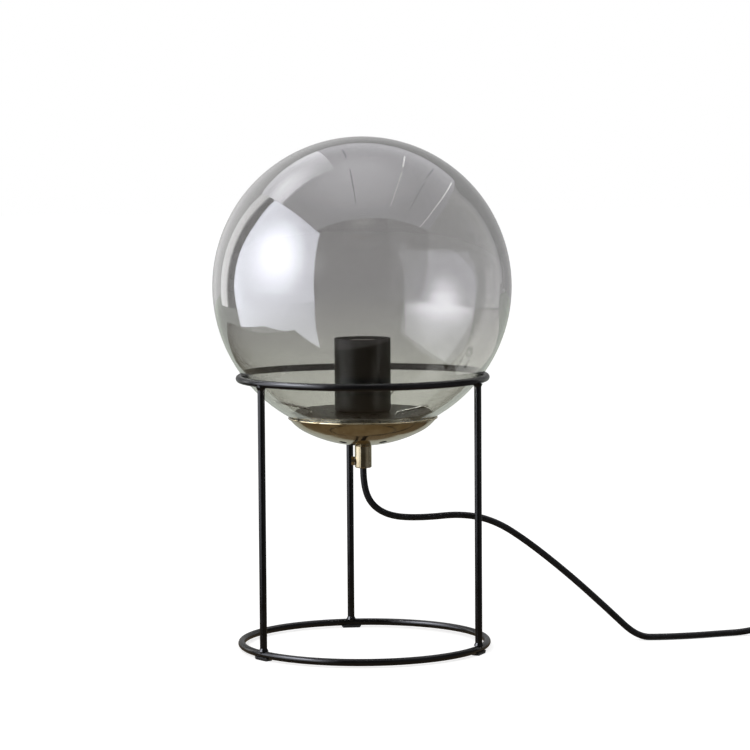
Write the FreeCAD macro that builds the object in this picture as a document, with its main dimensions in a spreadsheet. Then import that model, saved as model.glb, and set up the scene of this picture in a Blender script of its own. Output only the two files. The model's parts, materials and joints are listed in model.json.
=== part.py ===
"""Glass globe table lamp: a ball of smoked glass resting in a welded wire stand.

Frame: +Z up, origin on the floor under the lamp's axis, -Y towards the viewer. Lengths in mm, angles in degrees.
A brass fitting hangs in the bottom opening of the glass on three wire clips and carries the lampholder.
Its cord runs out between two legs, lies on the floor, and ends in a switch, a tied coil and a plug.
"""
import FreeCAD, Part
import math
import os
import Sketcher
from FreeCAD import Vector, Rotation, Placement

doc = FreeCAD.newDocument("globe_lamp")

# ---------------------------------------------------------------- sizes

SIZES = {
    # wire stand
    "rod_radius": 3.0,
    "ring_radius": 103.3,          # axis of the ring's rod
    "ring_spacing": 223.2,         # between the two rings' axes
    "first_leg_angle": 90.0,
    "weld_size": 1.2,
    "weld_height": 2.4,
    "weld_sink": 0.3,              # into the ring's rod
    "weld_gap": 0.05,
    "pad_lift": 1.6,               # of the lower ring above the floor
    "pad_length": 17.0,
    "pad_width": 6.0,
    "pad_bevel": 1.2,
    "pad_cradle": 0.9,             # how far a pad reaches up round the rod
    # glass
    "glass_radius": 125.0,
    "glass_wall": 3.0,
    "opening_radius": 59.0,
    "rest_gap": 0.3,
    # brass dish
    "dish_radius": 62.7,
    "dish_depth": 23.2,
    "dish_wall": 0.8,
    "dish_bead": 0.8,
    "crown_radius": 105.6,
    "crown_reach": 50.0,           # where the crown's arc meets the knuckle's
    "vent_radius": 3.3,
    "vent_circle": 33.0,
    "vent_count": 6,
    "fitting_angle": -6.5,
    # clip plate and spring clips
    "plate_over_dish": 28.5,
    "plate_wall": 1.0,
    "plate_radius": 57.5,
    "plate_flange": 3.0,
    "clip_wire": 0.7,              # radius
    "clip_foot": 45.0,             # from the lamp's axis
    "clip_half_width": 4.0,
    "clip_rise": 10.5,
    "clip_stand": 3.0,
    "clip_tail": 2.0,
    "clip_angle": -48.0,
    "clip_hole_gap": 0.1,
    # through tube, nut, sleeve and cord grip
    "tube_radius": 5.0,
    "tube_bore": 3.6,
    "tube_gap": 0.05,
    "tube_in_grip": 8.0,
    "sleeve_wall": 2.0,
    "nut_height": 3.0,
    "nut_half_width": 7.0,
    "grip_radius": 7.1,
    "grip_height": 18.9,
    "grip_floor": 1.2,
    "grip_chamfer": 0.7,
    "bush_gap": 0.1,
    "screw_radius": 1.5,
    "screw_head_radius": 3.7,
    "screw_head_height": 2.8,
    "screw_height": 5.6,           # above the grip's lower end
    # lampholder
    "cover_radius": 23.5,
    "cover_height": 61.5,
    "cover_wall": 1.0,
    "cover_corner": 2.5,
    "holder_gap": 0.3,
    "base_height": 12.0,
    "channel_depth": 3.2,
    "channel_width": 4.4,
    "terminal_place": 13.0,
    "terminal_length": 6.6,
    "terminal_width": 5.6,
    "terminal_height": 8.0,
    "pocket_gap": 0.2,
    "terminal_screw": 1.5,
    "body_floor": 4.0,
    "body_recess": 2.6,            # below the cover's edge
    "body_flare": 1.5,
    "shell_bore": 13.35,           # E27 screw shell
    "shell_wall": 0.4,
    "shell_height": 26.0,
    "shell_floor_hole": 8.0,
    "contact_radius": 3.5,
    "contact_height": 2.2,
    "contact_stem": 1.6,
    "contact_recess": 2.4,
    "contact_gap": 0.8,
    # cord
    "cord_diameter": 5.6,
    "core_radius": 1.1,
    "core_spread": 1.4,
    "core_start": 1.3,             # the sheath's end below the tube's
    # switch on the cord
    "switch_start": 352.0,
    "switch_side": 3.0,
    "switch_length": 60.0,
    "switch_width": 25.0,
    "switch_split": 6.5,
    "switch_height": 15.0,
    "switch_corner": 8.0,
    "switch_edge": 2.5,
    "switch_screw_place": 20.0,    # from the switch's middle
    "switch_screw_recess": 0.3,
    "rocker_radius": 9.4,
    "rocker_top": 5.5,
    "rocker_dip": 4.0,
    "rocker_low": 3.0,
    "rocker_keel": 4.0,
    "rocker_keel_depth": 5.0,
    "rocker_width": 10.0,
    "rocker_tilt": 11.0,
    "rocker_gap": 0.4,
    "pivot_below_top": 4.0,
    "pin_radius": 1.0,
    "pin_gap": 0.05,
    "pin_seat": 3.0,
    "pin_seat_gap": 0.02,
    "pocket_floor": 3.0,
    # coil and its tie
    "coil_centre_x": 478.0,
    "coil_centre_y": 44.0,
    "coil_turns": 6.5,
    "coil_middle": 30.0,           # mean radius of the turns
    "coil_pitch": 6.3,
    "coil_layer": 6.2,
    "coil_climb": 0.5,             # turns taken to climb to the second layer
    "tie_thickness": 0.7,
    "tie_width": 5.0,
    "tie_gap": 0.25,
    "tie_corner": 3.0,
    # plug
    "plug_face": 381.0,
    "plug_length": 34.0,
    "plug_width": 35.0,
    "plug_neck": 13.0,
    "plug_shoulder": 13.0,
    "plug_thickness": 13.7,
    "plug_edge": 3.0,
    "plug_pin_radius": 2.0,
    "plug_pin_length": 19.0,
    "plug_pin_seat": 6.0,
    "plug_pin_root": 1.7,          # radius inside the plug
    "plug_pin_gap": 0.05,
    "plug_pin_spacing": 19.0,
    "relief_length": 26.0,
    "relief_radius": 5.0,
    "relief_tip": 0.6,             # thickness at the thin end
}

LEGS = ("back", "left", "right")
CLIPS = ("right", "back", "left")
ARC_SHARE = 0.45                   # of the shorter run at each bend of a free cord
COIL_FIRST = -0.25                 # where the coil starts, in turns from the +X side
GAP_SAMPLES = 1500
HALF_CIRCLE_SLACK = 1.0001         # keeps a half circle's radius over half its chord
LEFT, RIGHT = 1, -1                # the side of a drawn line on which its arc has its centre


class Term:
    """A number, with the sheet expression that gives it."""

    def __init__(self, value, text):
        self.value = float(value)
        self.text = text

    def __add__(self, other):
        other = term(other)
        return Term(self.value + other.value, f"({self.text} + {other.text})")

    def __sub__(self, other):
        other = term(other)
        return Term(self.value - other.value, f"({self.text} - {other.text})")

    def __mul__(self, other):
        other = term(other)
        return Term(self.value * other.value, f"{self.text} * {other.text}")

    def __truediv__(self, other):
        other = term(other)
        return Term(self.value / other.value, f"{self.text} / ({other.text})")

    def __neg__(self):
        return Term(-self.value, f"(-1 * {self.text})")


def term(item):
    return item if isinstance(item, Term) else Term(item, repr(float(item)))


def root(item):
    return Term(math.sqrt(item.value), f"sqrt({item.text})")


def cosine(item):
    return Term(math.cos(math.radians(item.value)), f"cos({item.text})")


def sine(item):
    return Term(math.sin(math.radians(item.value)), f"sin({item.text})")


sizes_sheet = doc.addObject("Spreadsheet::Sheet", "Sizes")
places_sheet = doc.addObject("Spreadsheet::Sheet", "Places")


class Sheet:
    """The cells of a sheet as terms, by name."""


size = Sheet()
for row, (alias, number) in enumerate(SIZES.items(), start=1):
    sizes_sheet.set(f"A{row}", alias)
    sizes_sheet.set(f"B{row}", str(number))
    sizes_sheet.setAlias(f"B{row}", alias)
    setattr(size, alias, Term(number, f"Sizes.{alias}"))

place = Sheet()
places_used = []


def derive(alias, item):
    """Keep a worked-out size in the second sheet, as a formula, and return it as a term."""
    places_used.append(alias)
    row = len(places_used)
    places_sheet.set(f"A{row}", alias)
    places_sheet.set(f"B{row}", "=" + item.text)
    places_sheet.setAlias(f"B{row}", alias)
    kept = Term(item.value, f"Places.{alias}")
    setattr(place, alias, kept)
    return kept


def square(item):
    return item * item


# ---------------------------------------------------------------- worked-out places

derive("lower_ring_z", size.pad_lift + size.rod_radius)
derive("upper_ring_z", place.lower_ring_z + size.ring_spacing)
derive("rest_reach", size.glass_radius + size.rod_radius + size.rest_gap)
derive("globe_z", place.upper_ring_z + root(square(place.rest_reach) - square(size.ring_radius)))
derive("inner_glass", size.glass_radius - size.glass_wall)
derive("lip_reach", size.glass_radius - size.glass_wall / 2)
derive("lip_radius", size.opening_radius + size.glass_wall / 2)
derive("lip_drop", root(square(place.lip_reach) - square(place.lip_radius)))

derive("bead_circle", size.dish_radius - size.dish_bead)
derive("bead_reach", size.glass_radius + size.rest_gap + size.dish_bead)
derive("bead_z", place.globe_z - root(square(place.bead_reach) - square(place.bead_circle)))
derive("dish_bottom", place.bead_z - size.dish_depth)
derive("crown_z", place.dish_bottom + size.crown_radius)
derive("crown_fall", root(square(size.crown_radius) - square(size.crown_reach)))

derive("plate_top", place.dish_bottom + size.plate_over_dish)
derive("plate_bottom", place.plate_top - size.plate_wall)
derive("cover_top", place.plate_top + size.cover_height)
derive("nut_bottom", place.plate_top + size.cover_wall)
derive("base_bottom", place.nut_bottom + size.nut_height + size.holder_gap)
derive("base_top", place.base_bottom + size.base_height)
derive("tube_top", place.base_top - size.channel_depth - size.holder_gap)
derive("sheath_end", place.tube_top - size.core_start)
derive("body_top", place.cover_top - size.body_recess)
derive("body_floor_top", place.base_top + size.body_floor)
derive("contact_seat", place.body_floor_top - size.contact_recess)
derive("shell_radius", size.shell_bore + size.shell_wall)
derive("holder_radius", size.cover_radius - size.cover_wall - size.holder_gap)

derive("grip_bottom", place.dish_bottom - size.grip_height)
derive("tube_bottom", place.dish_bottom - size.tube_in_grip)
derive("grip_bore", size.tube_radius + size.tube_gap)
derive("cord_radius", size.cord_diameter / 2)
derive("cord_hole", place.cord_radius + size.bush_gap)
derive("pivot_z", size.switch_height - size.pivot_below_top)
derive("switch_middle", size.switch_start + size.switch_length / 2)
derive("plug_z", size.plug_thickness / 2)

# ---------------------------------------------------------------- tools for the pieces


def bind(piece, name, item):
    """Set a property to a term, which stays bound to the sheet, or to a bare number."""
    if isinstance(item, Term):
        piece.setExpression(name, item.text)
    else:
        setattr(piece, name, item)


def put(piece, x=0, y=0, z=0, turn=Rotation()):
    """Place a piece; each coordinate that is a term stays bound to the sheet."""
    spot = [term(item) for item in (x, y, z)]
    piece.Placement = Placement(Vector(*[item.value for item in spot]), turn)
    for letter, item in zip("xyz", (x, y, z)):
        if isinstance(item, Term):
            piece.setExpression(f"Placement.Base.{letter}", item.text)
    return piece


def primitive(kind, label, properties, x=0, y=0, z=0, turn=Rotation()):
    piece = doc.addObject("Part::" + kind, label)
    for name, item in properties.items():
        bind(piece, name, item)
    return put(piece, x, y, z, turn)


def cylinder(label, radius, height, x=0, y=0, z=0, turn=Rotation()):
    return primitive("Cylinder", label, {"Radius": radius, "Height": height}, x, y, z, turn)


def box(label, length, width, height, x=0, y=0, z=0, turn=Rotation()):
    """A box centred on x and y, standing on z, for a turn that is none."""
    corner_x, corner_y = term(x) - term(length) / 2, term(y) - term(width) / 2
    return primitive("Box", label, {"Length": length, "Width": width, "Height": height},
                     corner_x, corner_y, z, turn)


def torus(label, ring, radius, z, **other):
    return primitive("Torus", label, {"Radius1": ring, "Radius2": radius, **other}, z=z)


def fuse(label, pieces):
    made = doc.addObject("Part::MultiFuse", label)
    made.Shapes = pieces
    return made


def cut(label, base, tool):
    made = doc.addObject("Part::Cut", label)
    made.Base = base
    made.Tool = tool
    return made


def outward(angle):
    """The turn that points a standing piece away from the axis at this angle."""
    lean = math.radians(angle)
    return Rotation(Vector(-math.sin(lean), math.cos(lean), 0), 90)


def arc_between(start, end, radius, side):
    """The arc of under a half circle from start to end with its centre on this side."""
    chord = end - start
    across = Vector(-chord.y, chord.x, 0).normalize() * side
    centre = (start + end) * 0.5 + across * math.sqrt(max(radius**2 - chord.Length**2 / 4, 0))
    first, last = (start, end) if side == LEFT else (end, start)
    angles = [math.atan2(point.y - centre.y, point.x - centre.x) for point in (first, last)]
    if angles[1] < angles[0]:
        angles[1] += 2 * math.pi
    return Part.ArcOfCircle(Part.Circle(centre, Vector(0, 0, 1), radius), *angles)


def draw(body, name, role, corners):
    """A closed outline on one of the body's own planes.

    Each corner is (across, up), or (across, up, radius, side) where an arc leads on to the next.
    """
    sketch = body.newObject("Sketcher::SketchObject", name)
    plane = next(item for item in body.Origin.OriginFeatures if item.Role == role)
    sketch.AttachmentSupport = (plane, [""])
    sketch.MapMode = "FlatFace"
    points = [Vector(term(corner[0]).value, term(corner[1]).value, 0) for corner in corners]
    ends = []
    for number, corner in enumerate(corners):
        start, end = points[number], points[(number + 1) % len(points)]
        if len(corner) == 2:
            sketch.addGeometry(Part.LineSegment(start, end), False)
            ends.append((1, 2))
        else:
            sketch.addGeometry(arc_between(start, end, corner[2].value, corner[3]), False)
            ends.append((1, 2) if corner[3] == LEFT else (2, 1))
    for number, corner in enumerate(corners):
        before = (number - 1) % len(corners)
        tip = ends[number][0]
        sketch.addConstraint(
            Sketcher.Constraint("Coincident", before, ends[before][1], number, tip))
        for kind, item, axis in (("DistanceX", corner[0], -2), ("DistanceY", corner[1], -1)):
            if not isinstance(item, Term):
                sketch.addConstraint(Sketcher.Constraint("PointOnObject", number, tip, axis))
                continue
            index = sketch.addConstraint(Sketcher.Constraint(kind, -1, 1, number, tip, item.value))
            sketch.setExpression(f"Constraints[{index}]", item.text)
        if len(corner) > 2:
            index = sketch.addConstraint(Sketcher.Constraint("Radius", number, corner[2].value))
            sketch.setExpression(f"Constraints[{index}]", corner[2].text)
    return sketch


def turned(label, corners):
    """A body turned about the lamp's axis. A corner coordinate of plain 0 is on the axis."""
    body = doc.addObject("PartDesign::Body", label)
    sketch = draw(body, label + "_outline", "XZ_Plane", corners)
    feature = body.newObject("PartDesign::Revolution", label + "_turn")
    feature.Profile = sketch
    feature.ReferenceAxis = (sketch, ["V_Axis"])
    feature.Angle = 360
    return body


def padded(label, role, corners, length, both_ways=False):
    """A body pushed out from an outline, and its pad."""
    body = doc.addObject("PartDesign::Body", label)
    sketch = draw(body, label + "_outline", role, corners)
    feature = body.newObject("PartDesign::Pad", label + "_pad")
    feature.Profile = sketch
    feature.Midplane = both_ways
    bind(feature, "Length", length)
    return body, feature


def round_edges(body, feature, radius, wanted):
    """Fillet the edges of a feature that the test picks."""
    doc.recompute()
    names = [f"Edge{number}" for number, edge in enumerate(feature.Shape.Edges, start=1)
             if wanted(edge)]
    fillet = body.newObject("PartDesign::Fillet", feature.Name + "_round")
    fillet.Base = (feature, names)
    bind(fillet, "Radius", radius)
    return fillet


def rounded_rectangle(length, width, corner):
    """Corners of a rectangle about the origin, with rounded corners."""
    x, y = length / 2, width / 2
    x_in, y_in = x - corner, y - corner
    return [
        (-x_in, -y), (x_in, -y, corner, LEFT),
        (x, -y_in), (x, y_in, corner, LEFT),
        (x_in, y), (-x_in, y, corner, LEFT),
        (-x, y_in), (-x, -y_in, corner, LEFT),
    ]


def feature_of(label, shape):
    piece = doc.addObject("Part::Feature", label)
    piece.Shape = shape
    return piece


def bent_path(points):
    """Straight runs joined by tangent arcs, and the radii of the arcs."""
    edges, radii = [], []
    start = points[0]
    for before, corner, after in zip(points, points[1:], points[2:]):
        inward, onward = corner - before, after - corner
        turn = inward.getAngle(onward)
        reach = ARC_SHARE * min(inward.Length, onward.Length)
        radius = reach / math.tan(turn / 2)
        inward, onward = inward.normalize(), onward.normalize()
        first, last = corner - inward * reach, corner + onward * reach
        middle = corner + (onward - inward).normalize() * radius * (1 / math.cos(turn / 2) - 1)
        edges.append(Part.LineSegment(start, first).toShape())
        edges.append(Part.Arc(first, middle, last).toShape())
        radii.append(radius)
        start = last
    edges.append(Part.LineSegment(start, points[-1]).toShape())
    return Part.Wire(edges), radii


def swept(path, radius, start, heading):
    """One solid tube along a path."""
    ring = Part.Wire(Part.Circle(start, heading, radius).toShape())
    return path.makePipeShell([ring], True, False)


def bent_tube(label, points, radius):
    """A tube through a route's corners; its radii and volume are printed for a cord."""
    path, radii = bent_path(points)
    shape = swept(path, radius, points[0], points[1] - points[0])
    share = shape.Volume / (math.pi * radius**2 * path.Length)
    print(f"{label}: {path.Length:.1f} long, volume {share:.4f} of section x length, "
          f"radii {', '.join(f'{item:.0f}' for item in radii)}")
    return feature_of(label, shape), path.Length


# ---------------------------------------------------------------- wire stand


def ring(label, height):
    return torus(label, size.ring_radius, size.rod_radius, height)


def leg_angle(number):
    return size.first_leg_angle + 360 / len(LEGS) * number


def at(radius, angle):
    """X and Y of a point at this distance and angle from the lamp's axis."""
    return radius * cosine(angle), radius * sine(angle)


def leg(name, number):
    """An upright rod coped onto both rings, with a small weld round each end."""
    x, y = at(size.ring_radius, leg_angle(number))
    label = "leg_" + name
    foot_radius = size.rod_radius + size.weld_size
    weld_height = size.weld_height
    low_z = place.lower_ring_z + size.rod_radius - size.weld_sink
    high_z = place.upper_ring_z - size.rod_radius + size.weld_sink - weld_height
    rod = cylinder(label + "_rod", size.rod_radius, size.ring_spacing, x, y, place.lower_ring_z)
    low_weld = primitive("Cone", label + "_low_weld", {
        "Radius1": foot_radius, "Radius2": size.rod_radius, "Height": weld_height}, x, y, low_z)
    high_weld = primitive("Cone", label + "_high_weld", {
        "Radius1": size.rod_radius, "Radius2": foot_radius, "Height": weld_height}, x, y, high_z)
    blank = fuse(label + "_blank", [rod, low_weld, high_weld])
    return cut(label, blank, both_copes)


def foot_pad(name, number):
    """A plastic glide under the lower ring, cradled to the rod and bevelled at both ends."""
    label = "foot_pad_" + name
    half = size.pad_length / 2
    body, _ = padded(label + "_blank", "XZ_Plane", [
        (-(half - size.pad_bevel), 0), (half - size.pad_bevel, 0),
        (half, size.pad_lift), (half, size.pad_lift + size.pad_cradle),
        (-half, size.pad_lift + size.pad_cradle), (-half, size.pad_lift),
    ], size.pad_width, both_ways=True)
    x, y = at(size.ring_radius, leg_angle(number))
    put(body, x, y, 0, Rotation(Vector(0, 0, 1), leg_angle(number).value + 90))
    return cut(label, body, torus(label + "_cradle", size.ring_radius, place.cope_radius,
                                  place.lower_ring_z))


derive("cope_radius", size.rod_radius + size.weld_gap)
both_copes = fuse("copes", [
    torus("low_cope", size.ring_radius, place.cope_radius, place.lower_ring_z),
    torus("high_cope", size.ring_radius, place.cope_radius, place.upper_ring_z),
])
nodes = {"lower_ring": ring("lower_ring", place.lower_ring_z),
         "upper_ring": ring("upper_ring", place.upper_ring_z)}
for number, name in enumerate(LEGS):
    nodes["leg_" + name] = leg(name, number)
    nodes["foot_pad_" + name] = foot_pad(name, number)

# ---------------------------------------------------------------- glass globe


def globe():
    """A blown ball with a round fire-polished lip at its bottom opening."""
    outer_share = size.glass_radius / place.lip_reach
    inner_share = place.inner_glass / place.lip_reach
    outer_lip = (place.lip_radius * outer_share, place.globe_z - place.lip_drop * outer_share)
    inner_lip = (place.lip_radius * inner_share, place.globe_z - place.lip_drop * inner_share)
    waist_outer = (size.glass_radius, place.globe_z)
    waist_inner = (place.inner_glass, place.globe_z)
    half_wall = size.glass_wall / 2
    return turned("globe", [
        (*outer_lip, size.glass_radius, LEFT), (*waist_outer, size.glass_radius, LEFT),
        (0, place.globe_z + size.glass_radius),
        (0, place.globe_z + place.inner_glass, place.inner_glass, RIGHT),
        (*waist_inner, place.inner_glass, RIGHT), (*inner_lip, half_wall * HALF_CIRCLE_SLACK, LEFT),
    ])


nodes["globe"] = globe()

# ---------------------------------------------------------------- brass dish


def dish():
    """A spun bowl of a crown arc and a tighter knuckle, with a rolled rim and six vents."""
    crown, reach, wall = size.crown_radius, size.crown_reach, size.dish_wall
    joint = (reach, place.crown_z - place.crown_fall)
    normal = (-reach / crown, place.crown_fall / crown)
    to_rim = (place.bead_circle - joint[0], place.bead_z - joint[1])
    lean = to_rim[0] * normal[0] + to_rim[1] * normal[1]
    knuckle = derive("knuckle", (square(to_rim[0]) + square(to_rim[1])) / (lean * 2))
    centre = (joint[0] + normal[0] * knuckle, joint[1] + normal[1] * knuckle)
    inner_joint = (joint[0] + normal[0] * wall, joint[1] + normal[1] * wall)
    inner_rim = tuple(rim + (middle - rim) / knuckle * wall
                      for rim, middle in zip((place.bead_circle, place.bead_z), centre))
    hole = place.grip_bore
    outer_hole_z = place.crown_z - root(square(crown) - square(hole))
    inner_hole_z = place.crown_z - root(square(crown - wall) - square(hole))
    bowl = turned("dish_bowl", [
        (hole, outer_hole_z, crown, LEFT), (*joint, knuckle, LEFT),
        (place.bead_circle, place.bead_z),
        (*inner_rim, knuckle - wall, RIGHT), (*inner_joint, crown - wall, RIGHT),
        (hole, inner_hole_z),
    ])
    bead = torus("dish_bead_roll", place.bead_circle, size.dish_bead, place.bead_z)
    vents = []
    count = int(size.vent_count.value)
    for number in range(count):
        x, y = at(size.vent_circle, size.fitting_angle + 360 / count * number)
        vents.append(cylinder(f"vent_{number + 1}", size.vent_radius, size.dish_depth,
                              x, y, place.dish_bottom))
    return cut("dish", fuse("dish_blank", [bowl, bead]), fuse("vents", vents))


nodes["dish"] = dish()

# ---------------------------------------------------------------- clip plate and spring clips


def clip_angle(number):
    return size.fitting_angle + size.clip_angle + 360 / len(CLIPS) * number


def beside(radius, shift, angle):
    """X and Y of a point at a distance from the axis, shifted sideways."""
    x, y = at(radius, angle)
    return x - term(shift) * sine(angle), y + term(shift) * cosine(angle)


def clip_plate():
    """A pressed disc with a turned-down edge, and two small holes for each clip's feet."""
    top, bottom, wall = place.plate_top, place.plate_bottom, size.plate_wall
    edge, low = size.plate_radius, place.plate_top - size.plate_flange
    blank = turned("clip_plate_blank", [
        (place.grip_bore, bottom), (edge - wall, bottom), (edge - wall, low), (edge, low),
        (edge, top - wall, wall, LEFT), (edge - wall, top), (place.grip_bore, top),
    ])
    holes = []
    for number in range(len(CLIPS)):
        for side in (LEFT, RIGHT):
            x, y = beside(size.clip_foot, size.clip_half_width * side, clip_angle(number))
            holes.append(cylinder(f"clip_hole_{len(holes) + 1}", size.clip_wire + size.clip_hole_gap,
                                  size.plate_flange * 2, x, y, place.plate_top - size.plate_flange))
    return cut("clip_plate", blank, fuse("clip_holes", holes))


def spring_clip(name, number):
    """A hairpin of spring wire from the plate to the inside of the glass."""
    angle = clip_angle(number).value
    away = Vector(math.cos(math.radians(angle)), math.sin(math.radians(angle)), 0)
    aside = Vector(-away.y, away.x, 0)
    half, foot = size.clip_half_width.value, size.clip_foot.value
    tip_z = place.plate_top.value + size.clip_rise.value
    wire_reach = place.inner_glass.value - size.rest_gap.value - size.clip_wire.value
    tip = math.sqrt(wire_reach**2 - (place.globe_z.value - tip_z) ** 2 - half**2)
    knee_z = place.plate_top.value + size.clip_stand.value
    tail_z = place.plate_bottom.value - size.clip_tail.value
    side_view = [(foot, tail_z), (foot, knee_z), (tip, tip_z)]
    route = [away * r - aside * half + Vector(0, 0, z) for r, z in side_view]
    route += [away * r + aside * half + Vector(0, 0, z) for r, z in reversed(side_view)]
    return bent_tube("spring_clip_" + name, route, size.clip_wire.value)[0]


nodes["clip_plate"] = clip_plate()
for number, name in enumerate(CLIPS):
    nodes["spring_clip_" + name] = spring_clip(name, number)

# ---------------------------------------------------------------- through tube, nut, sleeve, grip


def pipe(label, radius, bore, bottom, top):
    return turned(label, [(bore, bottom), (radius, bottom), (radius, top), (bore, top)])


def spacer_sleeve():
    radius = place.grip_bore + size.sleeve_wall
    bottom = place.crown_z - root(square(size.crown_radius - size.dish_wall) - square(radius))
    return pipe("spacer_sleeve", radius, place.grip_bore, bottom, place.plate_bottom)


def lock_nut():
    blank = primitive("Prism", "lock_nut_blank", {
        "Circumradius": size.nut_half_width / cosine(term(30)),
        "Height": size.nut_height}, z=place.nut_bottom)
    blank.Polygon = 6
    bore = cylinder("lock_nut_bore", place.grip_bore, size.nut_height, z=place.nut_bottom)
    return cut("lock_nut", blank, bore)


def cord_grip():
    """A turned brass grip that screws onto the tube and clamps the cord in a bush."""
    low, top = place.grip_bottom, place.dish_bottom
    radius, chamfer = size.grip_radius, size.grip_chamfer
    floor = low + size.grip_floor
    blank = turned("cord_grip_blank", [
        (place.cord_hole, low), (radius - chamfer, low), (radius, low + chamfer),
        (radius, top - chamfer), (radius - chamfer, top), (place.grip_bore, top),
        (place.grip_bore, floor), (place.cord_hole, floor),
    ])
    hole = cylinder("grip_screw_hole", size.screw_radius + size.tube_gap, size.grip_radius * 2,
                    z=low + size.screw_height, turn=outward(screw_angle))
    return cut("cord_grip", blank, hole)


def strain_bush():
    bottom = place.grip_bottom + size.grip_floor
    return pipe("strain_bush", place.grip_bore - size.bush_gap, place.cord_hole,
                bottom, place.tube_bottom)


def grip_screw():
    """The clamping screw on the side of the grip: a slotted head and a shank against the bush."""
    turn = outward(screw_angle)
    away = turn.multVec(Vector(0, 0, 1))
    height = place.grip_bottom + size.screw_height
    shank_start = place.grip_bore.value
    shank = cylinder("grip_screw_shank", size.screw_radius,
                     size.grip_radius - place.grip_bore + size.tube_gap,
                     away.x * shank_start, away.y * shank_start, height, turn)
    seat = size.grip_radius + size.tube_gap
    head = cylinder("grip_screw_head", size.screw_head_radius, size.screw_head_height,
                    seat * away.x, seat * away.y, height, turn)
    slot_at = (size.grip_radius + size.screw_head_height).value
    slot = primitive("Box", "grip_screw_slot", {
        "Length": size.screw_radius, "Width": size.screw_head_radius * 3,
        "Height": size.screw_radius})
    slot.Placement = Placement(away * slot_at + Vector(0, 0, height.value), turn).multiply(
        Placement(Vector(-size.screw_radius.value / 2, -size.screw_head_radius.value * 1.5, 0), Rotation()))
    return cut("grip_screw", fuse("grip_screw_blank", [shank, head]), slot)


screw_angle = size.fitting_angle.value + 180
nodes["threaded_tube"] = pipe("threaded_tube", size.tube_radius, size.tube_bore,
                              place.tube_bottom, place.tube_top)
nodes["spacer_sleeve"] = spacer_sleeve()
nodes["lock_nut"] = lock_nut()
nodes["cord_grip"] = cord_grip()
nodes["strain_bush"] = strain_bush()
nodes["grip_screw"] = grip_screw()

# ---------------------------------------------------------------- lampholder


def holder_cover():
    """The black sleeve: a drawn cup with a rounded foot, open at its top."""
    bottom, top = place.plate_top, place.cover_top
    radius, wall, corner = size.cover_radius, size.cover_wall, size.cover_corner
    return turned("holder_cover", [
        (place.grip_bore, bottom), (radius - corner, bottom, corner, LEFT), (radius, bottom + corner),
        (radius, top), (radius - wall, top),
        (radius - wall, bottom + corner, corner - wall, RIGHT), (radius - corner, bottom + wall),
        (place.grip_bore, bottom + wall),
    ])


def holder_base():
    """The insulating base: pockets for two terminals joined by a wiring channel."""
    foot = size.cover_corner
    bottom, top = place.base_bottom, place.base_top
    radius = place.holder_radius
    blank = turned("holder_base_blank", [
        (place.grip_bore, bottom), (radius - foot, bottom), (radius, bottom + foot), (radius, top),
        (place.grip_bore, top),
    ])
    tools = [box("wiring_channel", size.terminal_place * 2, size.channel_width, size.channel_depth * 2,
                 0, 0, top - size.channel_depth)]
    for number, side in enumerate((-1, 1)):
        tools.append(box(f"terminal_pocket_{number + 1}", size.terminal_length + size.pocket_gap * 2,
                         size.terminal_width + size.pocket_gap * 2, size.base_height,
                         size.terminal_place * side, 0, top - size.terminal_height - size.pocket_gap))
    return cut("holder_base", blank, fuse("holder_base_tools", tools))


def terminals():
    """Two brass blocks, each with a screw hole from above."""
    blocks, holes = [], []
    bottom = place.base_top - size.terminal_height - size.pocket_gap
    for number, side in enumerate((-1, 1)):
        x = size.terminal_place * side
        blocks.append(box(f"terminal_{number + 1}", size.terminal_length, size.terminal_width,
                          size.terminal_height, x, 0, bottom))
        holes.append(cylinder(f"terminal_hole_{number + 1}", size.terminal_screw + size.tube_gap,
                              size.terminal_height, x, 0, bottom + size.terminal_height / 2))
    return cut("terminals", fuse("terminal_blocks", blocks), fuse("terminal_holes", holes))


def terminal_screws():
    bottom = place.base_top - size.terminal_height / 2
    height = size.terminal_height / 2 - size.pocket_gap
    return fuse("terminal_screws", [
        cylinder(f"terminal_screw_{number + 1}", size.terminal_screw, height,
                 size.terminal_place * side, 0, bottom)
        for number, side in enumerate((-1, 1))])


def holder_body():
    """The ceramic body that holds the screw shell."""
    bore = place.shell_radius + size.holder_gap / 2
    recess = size.contact_radius + size.contact_gap
    mouth = place.body_top
    flare = size.body_flare
    return turned("holder_body", [
        (size.contact_stem + size.tube_gap, place.base_top), (place.holder_radius, place.base_top),
        (place.holder_radius, mouth - flare), (place.holder_radius - flare, mouth),
        (bore + flare, mouth), (bore, mouth - flare), (bore, place.body_floor_top),
        (recess, place.body_floor_top), (recess, place.contact_seat),
        (size.contact_stem + size.tube_gap, place.contact_seat),
    ])


def screw_shell():
    """The threaded brass shell, turned in at its foot."""
    bottom, wall = place.body_floor_top, size.shell_wall
    top = bottom + size.shell_height
    return turned("screw_shell", [
        (size.shell_floor_hole, bottom), (place.shell_radius, bottom), (place.shell_radius, top),
        (size.shell_bore, top), (size.shell_bore, bottom + wall), (size.shell_floor_hole, bottom + wall),
    ])


def centre_contact():
    """The sprung brass button in its recess in the socket's floor, on its rivet."""
    bottom, top = place.base_top, place.contact_seat
    cap = size.contact_height
    return turned("centre_contact", [
        (0, bottom), (size.contact_stem, bottom), (size.contact_stem, top), (size.contact_radius, top),
        (size.contact_radius, top + cap / 2), (size.contact_stem, top + cap), (0, top + cap),
    ])


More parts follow.
